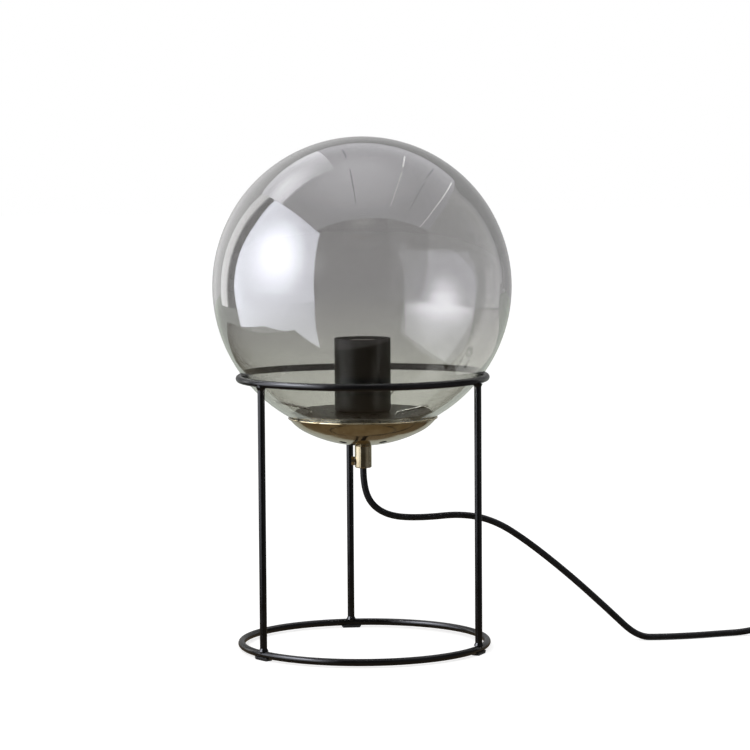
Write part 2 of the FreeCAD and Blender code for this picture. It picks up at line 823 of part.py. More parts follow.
def cord_cores():
    """Two insulated cores from the sheath's end to the terminals."""
    level = (place.base_top - size.channel_depth / 2).value
    start = place.sheath_end.value
    spread = size.core_spread.value
    end = (size.terminal_place - size.terminal_length / 2 - size.pocket_gap).value
    cores = []
    for side in (-1, 1):
        route = [Vector(side * spread, 0, start), Vector(side * spread, 0, level), Vector(side * end, 0, level)]
        path, _ = bent_path(route)
        cores.append(swept(path, size.core_radius.value, route[0], Vector(0, 0, 1)))
    return feature_of("cord_cores", Part.makeCompound(cores))


nodes["holder_cover"] = holder_cover()
nodes["holder_base"] = holder_base()
nodes["terminals"] = terminals()
nodes["terminal_screws"] = terminal_screws()
nodes["holder_body"] = holder_body()
nodes["screw_shell"] = screw_shell()
nodes["centre_contact"] = centre_contact()
nodes["cord_cores"] = cord_cores()
nodes["inner_cord"] = cylinder("inner_cord", place.cord_radius, place.sheath_end - place.grip_bottom,
                               z=place.grip_bottom)

# ---------------------------------------------------------------- switch on the cord


def shell_of_switch(label, bottom, top, edge_at):
    """One moulded half of the switch, rounded along its outer edge."""
    body, pad = padded(label, "XY_Plane", rounded_rectangle(
        size.switch_length, size.switch_width, size.switch_corner), top - bottom)
    offset = edge_at - bottom

    def on_outer_edge(edge):
        bounds = edge.BoundBox
        return abs(bounds.ZMin - offset.value) < 1e-3 and abs(bounds.ZMax - offset.value) < 1e-3

    round_edges(body, pad, size.switch_edge, on_outer_edge)
    return put(body, place.switch_middle, size.switch_side, bottom)


def screw_spots():
    return [(place.switch_middle + size.switch_screw_place * side, size.switch_side)
            for side in (-1, 1)]


def switch_base():
    blank = shell_of_switch("switch_base_blank", term(0), size.switch_split, term(0))
    window = window_box("base_pocket", size.pocket_floor, size.switch_split)
    holes = [cylinder(f"base_screw_hole_{number + 1}", size.screw_radius + size.tube_gap,
                      size.switch_split, x, y, 0) for number, (x, y) in enumerate(screw_spots())]
    heads = [cylinder(f"base_screw_seat_{number + 1}", size.screw_radius * 2,
                      size.screw_radius, x, y, 0) for number, (x, y) in enumerate(screw_spots())]
    return cut("switch_base", blank, fuse("switch_base_tools", [window] + holes + heads))


def window_box(label, bottom, top):
    gap = size.rocker_gap * 2
    return box(label, size.rocker_radius * 2 + gap, size.rocker_width + gap, top - bottom,
               place.switch_middle, size.switch_side, bottom)


def switch_cover():
    blank = shell_of_switch("switch_cover_blank", size.switch_split, size.switch_height,
                            size.switch_height)
    window = window_box("rocker_window", size.switch_split, size.switch_height)
    seat = pin_blank("rocker_pin_hole", size.pin_radius + size.pin_seat_gap, size.pin_seat_gap)
    holes = [cylinder(f"cover_screw_hole_{number + 1}", size.screw_radius + size.tube_gap,
                      size.rocker_dip, x, y, size.switch_split)
             for number, (x, y) in enumerate(screw_spots())]
    return cut("switch_cover", blank, fuse("switch_cover_tools", [window, seat] + holes))


def pin_blank(label, radius, longer):
    """A cylinder along the rocker's pivot, seated in both side walls of the window."""
    half = size.rocker_width / 2 + size.rocker_gap + size.pin_seat + longer
    return cylinder(label, radius, half * 2, place.switch_middle, size.switch_side + half,
                    place.pivot_z, Rotation(Vector(1, 0, 0), 90))


def rocker():
    """The rocker at its off stop: a shallow V on top, ends round the pivot, a keel below."""
    arc, top = size.rocker_radius, size.rocker_top
    top_x = root(square(arc) - square(top))
    low = -size.rocker_low
    low_x = root(square(arc) - square(size.rocker_low))
    keel, keel_z = size.rocker_keel, -size.rocker_keel_depth
    body, _ = padded("rocker_blank", "XZ_Plane", [
        (-top_x, top), (0, size.rocker_dip), (top_x, top, arc, RIGHT), (low_x, low),
        (keel, keel_z), (-keel, keel_z), (-low_x, low, arc, RIGHT),
    ], size.rocker_width, both_ways=True)
    put(body, place.switch_middle, size.switch_side, place.pivot_z,
        Rotation(Vector(0, 1, 0), -size.rocker_tilt.value))
    bore = pin_blank("rocker_bore", size.pin_radius + size.pin_gap, size.pin_seat)
    return cut("rocker", body, bore)


def switch_screws():
    """Two pan-head screws from below."""
    solids = []
    low = size.switch_screw_recess
    for number, (x, y) in enumerate(screw_spots()):
        shank = cylinder(f"switch_screw_shank_{number + 1}", size.screw_radius,
                         size.switch_split + size.rocker_dip / 2, x, y, low)
        head = cylinder(f"switch_screw_head_{number + 1}", size.screw_radius * 2 - size.tube_gap,
                        size.screw_radius - low, x, y, low)
        solids += [shank, head]
    return fuse("switch_screws", solids)


nodes["switch_base"] = switch_base()
nodes["switch_cover"] = switch_cover()
nodes["switch_screws"] = switch_screws()
nodes["rocker_pin"] = pin_blank("rocker_pin", size.pin_radius, term(0))
nodes["rocker"] = rocker()

# ---------------------------------------------------------------- coil


def unit(vector):
    return Vector(vector).normalize()


def arc_from(start, heading, end):
    """The arc that leaves start along heading and reaches end."""
    chord = end - start
    across = unit(chord - heading * chord.dot(heading))
    radius = chord.Length**2 / (2 * chord.dot(across))
    centre = start + across * radius
    middle = centre + unit((start + end) * 0.5 - centre) * radius
    return Part.Arc(start, middle, end).toShape()


def biarc(start, heading, end, last_heading):
    """Two arcs that join two points smoothly."""
    chord, both = end - start, heading + last_heading
    bend = 2 * (1 - heading.dot(last_heading))
    along = chord.dot(both)
    reach = (-along + math.sqrt(along**2 + bend * chord.Length**2)) / bend
    joint = (start + heading * reach + end - last_heading * reach) * 0.5
    back = arc_from(end, last_heading * -1, joint)
    return [arc_from(start, heading, joint), back]


def coil_point(turned_by):
    """The coil's centreline after this many turns: in, up a layer over a half turn, and out."""
    turns, pitch, climb = size.coil_turns.value, size.coil_pitch.value, size.coil_climb.value
    half_way = turns / 2
    outer = size.coil_middle.value + pitch * half_way / 2
    from_middle = abs(turned_by - half_way)
    if from_middle < climb / 2:
        from_middle = from_middle**2 / climb + climb / 4
    inward = pitch * (half_way - from_middle)
    blend = min(max((turned_by - half_way) / climb + 0.5, 0), 1)
    height = place.coil_low.value + size.coil_layer.value * blend**2 * (3 - 2 * blend)
    angle = 2 * math.pi * (turned_by + COIL_FIRST)
    radius = outer - inward
    return Vector(size.coil_centre_x.value + radius * math.cos(angle),
                  size.coil_centre_y.value + radius * math.sin(angle), height)


def coil_heading(turned_by):
    step = 1e-5
    return unit(coil_point(turned_by + step) - coil_point(turned_by - step))


def least_gap(path, count, skip):
    """The least distance of a path to itself, between points over skip lengths apart along it."""
    points = path.discretize(Number=count)
    apart = int(skip / (path.Length / count))
    return min((points[one] - points[two]).Length
               for one in range(len(points)) for two in range(one + apart, len(points)))


def cord_coil():
    """The cord's put-away length, wound in two layers from one end to the other."""
    quarters = int(round(size.coil_turns.value * 4))
    edges = []
    lead_in = coil_point(0) - coil_heading(0) * size.cord_diameter.value
    edges.append(Part.LineSegment(lead_in, coil_point(0)).toShape())
    for number in range(quarters):
        first, last = number / 4, (number + 1) / 4
        edges += biarc(coil_point(first), coil_heading(first), coil_point(last), coil_heading(last))
    last = quarters / 4
    lead_out = coil_point(last) + coil_heading(last) * size.cord_diameter.value
    edges.append(Part.LineSegment(coil_point(last), lead_out).toShape())
    path = Part.Wire(Part.sortEdges(edges)[0])
    shape = swept(path, place.cord_radius.value, lead_in, coil_heading(0))
    share = shape.Volume / (math.pi * place.cord_radius.value**2 * path.Length)
    gap = least_gap(path, GAP_SAMPLES, size.coil_middle.value) - size.cord_diameter.value
    print(f"cord_coil: {path.Length:.1f} long, volume {share:.4f} of section x length, "
          f"least gap to itself {gap:.2f}")
    return feature_of("cord_coil", shape), path.Length, lead_in, lead_out


def coil_tie():
    """A strap round the whole bundle on the side away from the lamp's axis."""
    bundle = [coil_point(number - COIL_FIRST).x for number in range(int(size.coil_turns.value))]
    clear = place.cord_radius + size.tie_gap
    low_x, high_x = min(bundle) - clear.value, max(bundle) + clear.value
    low_z = size.tie_thickness
    high_z = place.coil_low + size.coil_layer + clear
    middle_x = (low_x + high_x) / 2
    outer = padded("coil_tie_outer", "XZ_Plane", rounded_rectangle(
        term(high_x - low_x) + size.tie_thickness * 2, high_z - low_z + size.tie_thickness * 2,
        size.tie_corner + size.tie_thickness), size.tie_width, both_ways=True)[0]
    inner = padded("coil_tie_inner", "XZ_Plane", rounded_rectangle(
        term(high_x - low_x), high_z - low_z, size.tie_corner), size.tie_width * 2, both_ways=True)[0]
    middle_z = (high_z + low_z) / 2
    for body in (outer, inner):
        put(body, middle_x, size.coil_centre_y, middle_z)
    return cut("coil_tie", outer, inner)


derive("coil_low", place.cord_radius + size.tie_thickness + size.tie_gap)
nodes["cord_coil"], coil_length, coil_start, coil_end = cord_coil()
nodes["coil_tie"] = coil_tie()

# ---------------------------------------------------------------- plug

ALONG_X = Rotation(Vector(0, 1, 0), 90)
plug_y = coil_end.y
plug_back = size.plug_face + size.plug_length
relief_start = plug_back + size.relief_length


def plug_body():
    """A flat moulded plug: wide at its pins, drawn in to a neck at the cord."""
    half, neck = size.plug_width / 2, size.plug_neck / 2
    shoulder = size.plug_face + size.plug_shoulder
    body, pad = padded("plug_body_blank", "XY_Plane", [
        (size.plug_face, -half), (shoulder, -half), (plug_back, -neck),
        (plug_back, neck), (shoulder, half), (size.plug_face, half),
    ], size.plug_thickness)

    def long_side(edge):
        bounds = edge.BoundBox
        if bounds.ZLength < 1e-3:
            return bounds.XLength > 1
        return abs(bounds.XMin - size.plug_face.value) < 1e-3

    round_edges(body, pad, size.plug_edge, long_side)
    put(body, 0, plug_y, 0)
    sockets = [cylinder(f"pin_socket_{number + 1}", size.plug_pin_root + size.plug_pin_gap,
                        size.plug_pin_seat, size.plug_face, size.plug_pin_spacing / 2 * side + plug_y,
                        place.plug_z, ALONG_X)
               for number, side in enumerate((-1, 1))]
    return cut("plug_body", body, fuse("pin_sockets", sockets))


def plug_pins():
    """Two round contact pins with domed tips and thinner roots."""
    solids = []
    for number, side in enumerate((-1, 1)):
        y = size.plug_pin_spacing / 2 * side + plug_y
        length = size.plug_pin_length - size.plug_pin_radius
        tip_x = size.plug_face - size.plug_pin_length + size.plug_pin_radius
        solids.append(cylinder(f"plug_pin_{number + 1}", size.plug_pin_radius, length,
                               tip_x, y, place.plug_z, ALONG_X))
        solids.append(cylinder(f"plug_pin_root_{number + 1}", size.plug_pin_root, size.plug_pin_seat,
                               size.plug_face, y, place.plug_z, ALONG_X))
        solids.append(primitive("Sphere", f"plug_pin_tip_{number + 1}",
                                {"Radius": size.plug_pin_radius}, tip_x, y, place.plug_z))
    return fuse("plug_pins", solids)


nodes["plug_body"] = plug_body()
nodes["plug_pins"] = plug_pins()
nodes["plug_relief"] = primitive("Cone", "plug_relief", {
    "Radius1": size.relief_radius, "Radius2": place.cord_radius + size.relief_tip,
    "Height": size.relief_length}, plug_back, plug_y, place.plug_z, ALONG_X)

# ---------------------------------------------------------------- free stretches of the cord

floor_z = place.cord_radius.value
switch_start = size.switch_start.value
switch_end = switch_start + size.switch_length.value
coil_last_heading = coil_heading(size.coil_turns.value)
split_z = size.switch_split.value
side_y = size.switch_side.value

LEAD_ROUTE = [
    (0, 0, place.grip_bottom.value), (0, 0, 137), (6.5, 0, 120), (23, 0, 110), (50, 0, 108.4),
    (84, 0, 111.2), (112, 0, 104.5), (140, 0, 86), (176, -1, 56.5), (209, -2, 26), (233, -4, floor_z),
    (254, -7, floor_z), (283, -4, floor_z), (309, 3, floor_z), (326, 4, floor_z + 0.5),
    (switch_start - 10, side_y, split_z), (switch_start, side_y, split_z),
]
MID_ROUTE = [
    (switch_end, side_y, split_z), (switch_end + 9, side_y, split_z), (switch_end + 26, side_y + 1, 4.1),
    tuple(coil_start - coil_heading(0) * 9), tuple(coil_start),
]
TAIL_ROUTE = [
    tuple(coil_end), tuple(coil_end + coil_last_heading * 9),
    (relief_start.value + 9, plug_y, place.plug_z.value), (relief_start.value, plug_y, place.plug_z.value),
]


def stretch(label, route):
    return bent_tube(label, [Vector(*point) for point in route], place.cord_radius.value)


nodes["cord_lead"], lead_length = stretch("cord_lead", LEAD_ROUTE)
nodes["cord_mid"], mid_length = stretch("cord_mid", MID_ROUTE)
nodes["cord_tail"], tail_length = stretch("cord_tail", TAIL_ROUTE)
whole = lead_length + size.switch_length.value + mid_length + coil_length + tail_length
print(f"cord from the grip to the plug: {whole + size.relief_length.value:.0f}")

# ---------------------------------------------------------------- checks and files

doc.recompute()
for item in doc.Objects:
    if "Invalid" in item.State or "Error" in item.State:
        raise RuntimeError(f"{item.Label} failed: {item.State}")
os.makedirs("parts", exist_ok=True)
for name, piece in nodes.items():
    if piece.Shape.isNull() or not piece.Shape.isValid() or piece.Shape.Volume <= 0:
        raise RuntimeError(f"{name} has no valid shape")
    piece.Label = name
    piece.Shape.exportStep(f"parts/{name}.step")
    bounds = piece.Shape.optimalBoundingBox()
    print(f"{name}: {len(piece.Shape.Solids)} solid(s), {piece.Shape.Volume:.0f} mm3, "
          f"z {bounds.ZMin:.2f} to {bounds.ZMax:.2f}")
print(f"{len(nodes)} nodes")
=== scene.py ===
"""Finishes and soft goods of the glass globe table lamp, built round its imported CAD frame.

Metres, +Z up, -Y towards the viewer. The frame's solids get their finishes. The cord is made again
as one smooth tube along its route, and the screw shell with its thread. Panels round the lamp stand
in for the room that its glass and its metal mirror.
"""
import json
import math

import bmesh
import bpy
from mathutils import Matrix, Vector


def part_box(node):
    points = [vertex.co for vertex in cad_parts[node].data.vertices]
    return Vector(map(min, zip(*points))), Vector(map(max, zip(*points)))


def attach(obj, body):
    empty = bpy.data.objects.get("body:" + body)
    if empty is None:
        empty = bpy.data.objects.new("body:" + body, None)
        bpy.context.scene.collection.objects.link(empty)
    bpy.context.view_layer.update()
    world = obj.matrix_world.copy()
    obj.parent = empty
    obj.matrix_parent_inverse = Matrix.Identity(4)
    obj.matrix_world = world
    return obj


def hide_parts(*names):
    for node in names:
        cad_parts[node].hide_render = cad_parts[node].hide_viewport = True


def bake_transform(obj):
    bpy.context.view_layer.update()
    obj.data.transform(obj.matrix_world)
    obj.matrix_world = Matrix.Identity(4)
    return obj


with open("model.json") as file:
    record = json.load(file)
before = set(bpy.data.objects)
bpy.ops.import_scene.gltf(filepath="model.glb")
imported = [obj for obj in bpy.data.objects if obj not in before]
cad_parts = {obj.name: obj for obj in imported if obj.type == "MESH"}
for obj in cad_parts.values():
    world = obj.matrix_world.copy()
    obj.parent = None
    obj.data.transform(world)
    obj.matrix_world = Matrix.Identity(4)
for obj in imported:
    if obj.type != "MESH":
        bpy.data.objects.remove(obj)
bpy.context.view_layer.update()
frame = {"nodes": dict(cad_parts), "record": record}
bpy.context.scene.view_settings.view_transform = "Standard"
MM = 0.001

# ---------------------------------------------------------------- camera


def set_camera():
    """Long lens a little above the ring, turned slightly right, as solved from the photograph."""
    lens = bpy.data.cameras.new("camera")
    lens.sensor_width = 36.0
    lens.lens = 145.56
    lens.clip_start, lens.clip_end = 0.05, 60.0
    camera = bpy.data.objects.new("camera", lens)
    right = Vector((0.99307509, -0.11728224, -0.00683661))
    up = Vector((0.01606853, 0.07795161, 0.99682764))
    back = right.cross(up)
    turn = Matrix((right, up, back)).transposed().to_4x4()
    camera.matrix_world = Matrix.Translation((-0.285107, -2.514058, 0.430932)) @ turn
    bpy.context.scene.collection.objects.link(camera)
    bpy.context.scene.camera = camera


set_camera()

# ---------------------------------------------------------------- cord

CORD_RADIUS = 2.8 * MM

# The route is in mm, like the frame's source.
FLOOR_LINE = 2.8                   # height of the cord's centreline where it lies on the floor
SWITCH_START, SWITCH_END = 352, 412
COIL_CENTRE = (478, 44)
COIL_TURNS = 6.5                   # half of them in each of two layers
COIL_PITCH, COIL_OUTER = 6.3, 40.2375
COIL_LOW, COIL_LAYER = 3.75, 6.2   # height of the lower layer, and from it to the upper one
COIL_CLIMB = 0.5                   # turns over which the cord changes layer
COIL_LEAD_IN = 14                  # straight stretch before the coil and after it
POINTS_PER_TURN = 16
PLUG_Y, PLUG_Z = 84.377, 6.85

# out of the grip, down between two legs, along the floor and into the switch
LEAD_ROUTE = [
    (0, 0, 151.93), (0, 0, 137), (6.5, 0, 120), (23, 0, 110), (50, 0, 108.4),
    (84, 0, 111.2), (112, 0, 104.5), (140, 0, 86), (176, -1, 56.5), (209, -2, 26),
    (233, -4, FLOOR_LINE), (254, -7, FLOOR_LINE), (283, -4, FLOOR_LINE), (309, 3, FLOOR_LINE),
    (326, 4, FLOOR_LINE + 0.5), (342, 3, 6.5), (SWITCH_START, 3, 6.5),
]
MID_ROUTE = [(SWITCH_END, 3, 6.5), (421, 3, 6.5), (438, 4, 4.1)]
TAIL_ROUTE = [(450, PLUG_Y, PLUG_Z), (441, PLUG_Y, PLUG_Z), (415, PLUG_Y, PLUG_Z)]


def coil_point(turned):
    """Centreline of the tied coil after some turns: inwards, up a layer, and outwards again."""
    half_way = COIL_TURNS / 2
    from_middle = abs(turned - half_way)
    if from_middle < COIL_CLIMB / 2:
        from_middle = from_middle**2 / COIL_CLIMB + COIL_CLIMB / 4
    blend = min(max((turned - half_way) / COIL_CLIMB + 0.5, 0), 1)
    height = COIL_LOW + COIL_LAYER * blend**2 * (3 - 2 * blend)
    angle = 2 * math.pi * (turned - 0.25)
    outset = 1 / math.cos(math.pi / POINTS_PER_TURN)     # the spline runs inside its points
    radius = (COIL_OUTER - COIL_PITCH * (half_way - from_middle)) * outset
    x = COIL_CENTRE[0] + radius * math.cos(angle)
    y = COIL_CENTRE[1] + radius * math.sin(angle)
    return (x, y, height)


def cord_line():
    """The whole cord as one spline: lead, through the switch, coil, and tail into the plug."""
    first, last = coil_point(0), coil_point(COIL_TURNS)
    count = int(COIL_TURNS * POINTS_PER_TURN)
    coil = [coil_point(number / POINTS_PER_TURN) for number in range(count + 1)]
    before = (first[0] - COIL_LEAD_IN, first[1], first[2])
    after = (last[0] - COIL_LEAD_IN, PLUG_Y, last[2])
    points = LEAD_ROUTE + MID_ROUTE + [before] + coil + [after] + TAIL_ROUTE
    line = bpy.data.curves.new("cord_line", "CURVE")
    line.dimensions = "3D"
    spline = line.splines.new("NURBS")
    spline.points.add(len(points) - 1)
    for spot, point in zip(spline.points, points):
        spot.co = (*[part * MM for part in point], 1)
    spline.order_u = 3
    spline.use_endpoint_u = True
    spline.resolution_u = 8
    return line


def mesh_of(curve):
    """The mesh that a curve gives, as new data."""
    holder = bpy.data.objects.new("holder", curve)
    bpy.context.scene.collection.objects.link(holder)
    bpy.context.view_layer.update()
    made = bpy.data.meshes.new_from_object(holder)
    bpy.data.objects.remove(holder)
    return made


def piece(name, mesh, finish=None):
    """Put a finished mesh in the scene as a piece."""
    made = bpy.data.objects.new(name, mesh)
    bpy.context.scene.collection.objects.link(made)
    if finish:
        mesh.materials.clear()
        mesh.materials.append(finish)
    return made


def make_cord():
    """The cord from grip to plug."""
    line = cord_line()
    path = [tuple(vertex.co) for vertex in mesh_of(line).vertices]
    line.bevel_depth = CORD_RADIUS
    line.bevel_resolution = 4
    line.use_fill_caps = True
    cord = piece("cord", mesh_of(line))
    for face in cord.data.polygons:
        face.use_smooth = True
    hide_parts("cord_lead", "cord_mid", "cord_coil", "cord_tail")
    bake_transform(cord)
    return cord


cord = make_cord()

# ---------------------------------------------------------------- finishes

# A Mix node has several sockets of one name, so they go by number.
MIX_FACTOR, MIX_FLOAT_A, MIX_FLOAT_B, MIX_COLOUR_A, MIX_COLOUR_B = 0, 2, 3, 6, 7
MIXED_FLOAT, MIXED_COLOUR = 0, 2


def linear(hex_colour):
    """An sRGB hex colour as linear RGBA."""
    channels = [int(hex_colour[start:start + 2], 16) / 255 for start in (1, 3, 5)]
    return (*[part / 12.92 if part <= 0.04045 else ((part + 0.055) / 1.055) ** 2.4
              for part in channels], 1.0)


def add(tree, kind, settings, sockets):
    """Add a node. A socket takes a value, or (node, output) as a link."""
    made = tree.nodes.new(kind)
    for name, value in settings.items():
        setattr(made, name, value)
    for name, value in sockets.items():
        if isinstance(value, tuple) and isinstance(value[0], bpy.types.Node):
            tree.links.new(value[0].outputs[value[1]], made.inputs[name])
        else:
            made.inputs[name].default_value = value
    return made


def bare(name):
    """A new material with no nodes yet."""
    made = bpy.data.materials.new(name)
    made.use_nodes = True
    made.node_tree.nodes.clear()
    return made


def made_surface(name, colours, gloss, patch, tooth, relief, constants, lathe=None, dull_and_painted_shade=None):
    """A surface as it comes from its making and handling, with painted shade where it is asked for.

    Its colour drifts between two hex colours, and its roughness between the two values of gloss,
    in patches this many mm wide. Over them lies a fine tooth, this many mm from lump to lump, or
    else the rings that a lathe left, this many mm apart. Either rises by the relief, in mm. Faces
    that look up or level between two heights may take a dark colour as painted shade, with a duller
    roughness: (hex colour, roughness, bottom, top).
    """
    made = bare(name)
    tree = made.node_tree
    place = add(tree, "ShaderNodeTexCoord", {}, {})
    cloud = add(tree, "ShaderNodeTexNoise", {}, {
        "Vector": (place, "Object"), "Scale": 1 / (patch * MM), "Detail": 3.0})
    drift = add(tree, "ShaderNodeMapRange", {}, {
        "Value": (cloud, "Fac"), "From Min": 0.35, "From Max": 0.65})
    tint = add(tree, "ShaderNodeMix", {"data_type": "RGBA"}, {
        MIX_FACTOR: (drift, "Result"),
        MIX_COLOUR_A: linear(colours[0]), MIX_COLOUR_B: linear(colours[1])})
    roughness = add(tree, "ShaderNodeMapRange", {}, {
        "Value": (drift, "Result"), "To Min": gloss[0], "To Max": gloss[1]})
    roughness = (roughness, "Result")
    # upward or level faces between the two heights get a dark colour as painted shade, and a duller
    # roughness
    if dull_and_painted_shade:
        painted_shade_colour, dull_roughness, bottom, top = dull_and_painted_shade
        facing = add(tree, "ShaderNodeSeparateXYZ", {}, {"Vector": (place, "Normal")})
        spot = add(tree, "ShaderNodeSeparateXYZ", {}, {"Vector": (place, "Object")})
        upward = add(tree, "ShaderNodeMath", {"operation": "GREATER_THAN"}, {
            0: (facing, "Z"), 1: -0.1})
        between = add(tree, "ShaderNodeMath", {"operation": "COMPARE"}, {
            0: (spot, "Z"), 1: (bottom + top) / 2, 2: (top - bottom) / 2})
        inside = add(tree, "ShaderNodeMath", {"operation": "MULTIPLY"}, {
            0: (upward, 0), 1: (between, 0)})
        tint = add(tree, "ShaderNodeMix", {"data_type": "RGBA"}, {
            MIX_FACTOR: (inside, 0), MIX_COLOUR_A: (tint, MIXED_COLOUR),
            MIX_COLOUR_B: linear(painted_shade_colour)})
        duller = add(tree, "ShaderNodeMix", {}, {
            MIX_FACTOR: (inside, 0), MIX_FLOAT_A: roughness, MIX_FLOAT_B: dull_roughness})
        roughness = (duller, MIXED_FLOAT)
    if lathe:
        height = add(tree, "ShaderNodeTexWave", {"wave_type": "RINGS", "rings_direction": "Z"}, {
            "Vector": (place, "Object"), "Scale": math.pi / (10 * lathe * MM),
            "Distortion": 0.4, "Detail": 1.0})
    else:
        height = add(tree, "ShaderNodeTexNoise", {}, {
            "Vector": (place, "Object"), "Scale": 1 / (tooth * MM), "Detail": 3.0})
    bump = add(tree, "ShaderNodeBump", {}, {
        "Height": (height, "Fac"), "Distance": relief * MM, "Strength": 1.0})
    surface = add(tree, "ShaderNodeBsdfPrincipled", {}, {
        "Base Color": (tint, MIXED_COLOUR), "Roughness": roughness, "Normal": (bump, "Normal"),
        **constants})
    add(tree, "ShaderNodeOutputMaterial", {}, {"Surface": (surface, "BSDF")})
    return made


def smoked_glass():
    """Blown glass tinted smoke grey: clear to see through, and a mirror on both of its faces.

    The tint is lighter towards the opening, and its yellow-green cast there is a painted reflection
    of the brass dish below. Slow waves of the wall bend what it mirrors.
    """
    made = bare("smoked_glass")
    tree = made.node_tree
    place = add(tree, "ShaderNodeTexCoord", {}, {})
    height = add(tree, "ShaderNodeSeparateXYZ", {}, {"Vector": (place, "Object")})
    opening_fade_and_painted_reflection = add(tree, "ShaderNodeMapRange", {"interpolation_type": "SMOOTHSTEP"}, {
        "Value": (height, "Z"), "From Min": 0.185, "From Max": 0.315})
    # lighter towards the opening, where a yellow-green cast is the brass dish's painted reflection
    tint = add(tree, "ShaderNodeMix", {"data_type": "RGBA"}, {
        MIX_FACTOR: (opening_fade_and_painted_reflection, "Result"),
        MIX_COLOUR_A: linear("#D3D4CC"), MIX_COLOUR_B: linear("#B7B6B6")})
    waves = add(tree, "ShaderNodeTexNoise", {}, {
        "Vector": (place, "Object"), "Scale": 1 / (60 * MM), "Detail": 0.0})
    bump = add(tree, "ShaderNodeBump", {}, {
        "Height": (waves, "Fac"), "Distance": 0.12 * MM, "Strength": 1.0})
    surface = add(tree, "ShaderNodeBsdfPrincipled", {}, {
        "Base Color": (tint, MIXED_COLOUR), "Normal": (bump, "Normal"), "IOR": 1.5,
        "Roughness": 0.0, "Transmission Weight": 1.0})
    add(tree, "ShaderNodeOutputMaterial", {}, {"Surface": (surface, "BSDF")})
    return made


FINISHES = {
    # black powder coat baked on steel rod: satin, with faint orange peel
    "black_frame": made_surface(
        "satin_powder_coat", ("#050506", "#0B0B0D"), (0.18, 0.26), 12, 0.9, 0.015, {"IOR": 1.56}),
    # glides moulded in black nylon: matt, faintly mottled
    "foot_plastic": made_surface(
        "moulded_nylon", ("#171717", "#212121"), (0.55, 0.70), 3, 0.6, 0.03, {"IOR": 1.53}),
    # blown glass: sharp and clear, its smoke tint lighter towards the opening, with the brass
    # dish's reflection painted in there as a yellow-green cast
    "smoked_glass": smoked_glass(),
    # spun brass, polished and lacquered: warm grey-gold under a clear coat, browner in patches. The
    # lathe's rings are drawn coarser than they are, so that they show. The bowl's inside and its
    # vents get a near-black colour as painted shade, with a duller roughness.
    "antique_brass": made_surface(
        "lacquered_spun_brass", ("#BFAE88", "#D4C7A6"), (0.10, 0.18), 9, None, 0.0015,
        {"Metallic": 1.0, "Coat Weight": 0.6, "Coat Roughness": 0.04}, lathe=1.3,
        dull_and_painted_shade=("#120E0A", 0.6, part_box("dish")[0][2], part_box("dish")[1][2] - 2.5 * MM)),
    # pressed steel, phosphated dark grey: low sheen in clouds
    "dark_steel": made_surface(
        "phosphated_steel", ("#63625E", "#7B7973"), (0.26, 0.42), 6, 0.8, 0.02, {"Metallic": 0.9}),
    # hard-drawn spring wire: bright, with faint die marks
    "spring_steel": made_surface(
        "drawn_spring_wire", ("#C9C7C1", "#E2E0DA"), (0.16, 0.28), 2, 0.3, 0.005,
        {"Metallic": 1.0}),
    # bright zinc plate on steel: cool grey spangle
    "zinc_steel": made_surface(
        "zinc_plate", ("#BDC0C4", "#D2D3D3"), (0.28, 0.42), 3, 0.5, 0.008, {"Metallic": 1.0}),
    # phenolic moulding: near black with a brown cast
    "bush_plastic": made_surface(
        "moulded_phenolic", ("#211F1B", "#2B2823"), (0.30, 0.42), 4, 0.35, 0.015, {"IOR": 1.6}),
    # black stove enamel on the drawn sleeve: flatter than the rods, with a soft sheen
    "black_cover": made_surface(
        "stove_enamel", ("#101011", "#171717"), (0.42, 0.52), 10, 0.7, 0.02, {"IOR": 1.5}),
    # plain brass of the screw shell and contacts: bright where it was pressed, duller in patches
    "bright_brass": made_surface(
        "pressed_brass", ("#CDA75A", "#E3C47A"), (0.22, 0.34), 4, 0.5, 0.01, {"Metallic": 1.0}),
    # unglazed steatite: off-white, matt, finely pitted
    "holder_ceramic": made_surface(
        "steatite", ("#E2DDD1", "#EFEBE2"), (0.50, 0.65), 5, 0.4, 0.03, {"IOR": 1.55}),
    # blue core insulation: smooth, slightly waxy
    "core_plastic": made_surface(
        "core_insulation", ("#2A669C", "#3475AE"), (0.30, 0.40), 4, 0.35, 0.015, {"IOR": 1.53}),
    # extruded black PVC round two cores: dull gloss, a little uneven from the die
    "cord_plastic": made_surface(
        "extruded_pvc", ("#09090A", "#111114"), (0.38, 0.48), 7, 5, 0.06, {"IOR": 1.53}),
    # injection-moulded black ABS with a fine spark-eroded texture
    "switch_plastic": made_surface(
        "moulded_abs", ("#131315", "#1B1B1E"), (0.28, 0.40), 4, 0.35, 0.015, {"IOR": 1.53}),
    # woven nylon hook strap: matt with a soft nap
    "tie_plastic": made_surface(
        "hook_strap", ("#19191B", "#242427"), (0.75, 0.90), 2, 0.5, 0.08, {"Sheen Weight": 0.3}),
    # nickel plate on the pins: warm white metal
    "pin_metal": made_surface(
        "nickel_plate", ("#CFCAC0", "#E0DCD3"), (0.12, 0.22), 3, 0.5, 0.004, {"Metallic": 1.0}),
}
for part in frame["record"]["subparts"]:
    mesh = frame["nodes"][part["node"]].data
    mesh.materials.clear()
    mesh.materials.append(FINISHES[part["material_slot"]])
cord.data.materials.clear()
cord.data.materials.append(FINISHES["cord_plastic"])

# ---------------------------------------------------------------- screw shell


